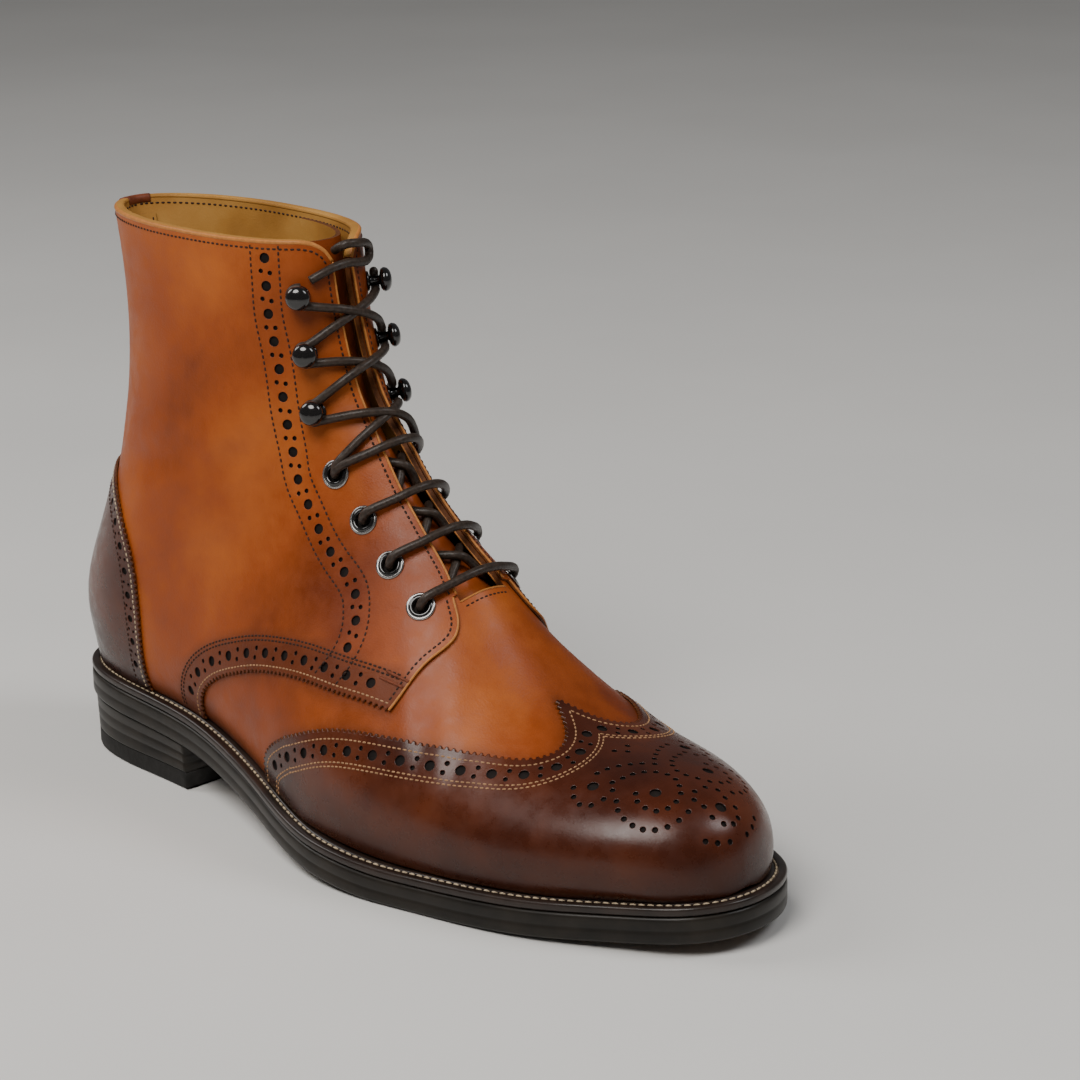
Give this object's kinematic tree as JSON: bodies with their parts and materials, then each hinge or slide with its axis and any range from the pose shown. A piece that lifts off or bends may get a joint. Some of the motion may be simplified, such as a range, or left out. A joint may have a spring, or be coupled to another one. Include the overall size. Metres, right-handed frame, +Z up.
{
  "type": "lace-up ankle boot",
  "caption": "Right leather ankle boot with winged toe cap, punched bands, heel counter, laces over eyelets and hooks, stitched welt, leather sole and stacked heel.",
  "frame": {"origin": "Under the middle of the bounding box, on the floor", "axes": "+X heel to toe, +Y medial side (the other foot), +Z up"},
  "size_m": [0.3123, 0.115, 0.1992],
  "materials": {
    "sole": "polished edge",
    "welt": "dark waxed",
    "heel": "polished edge",
    "top_lift": "matt",
    "insole": "plain",
    "upper": "burnished",
    "quarter": "burnished",
    "cap": "glossy, clouded",
    "tongue": "satin",
    "fittings": "black gloss",
    "lace": "waxed"
  },
  "bodies": {
    "root": {"outsole": "sole", "welt": "welt", "heel_stack": "heel", "top_lift": "top_lift", "insole": "insole", "upper": "upper", "quarter_lateral": "quarter", "quarter_medial": "quarter", "wing_cap": "cap", "heel_counter": "cap", "tongue": "tongue", "eyelet_lateral_1": "fittings", "eyelet_medial_1": "fittings", "eyelet_lateral_2": "fittings", "eyelet_medial_2": "fittings", "eyelet_lateral_3": "fittings", "eyelet_medial_3": "fittings", "eyelet_lateral_4": "fittings", "eyelet_medial_4": "fittings", "hook_lateral_1": "fittings", "hook_medial_1": "fittings", "hook_lateral_2": "fittings", "hook_medial_2": "fittings", "hook_lateral_3": "fittings", "hook_medial_3": "fittings", "lace_bar_1": "lace", "lace_bar_2": "lace", "lace_bar_3": "lace", "lace_crossing": "lace", "lace_end": "lace"}
  },
  "joints": []
}
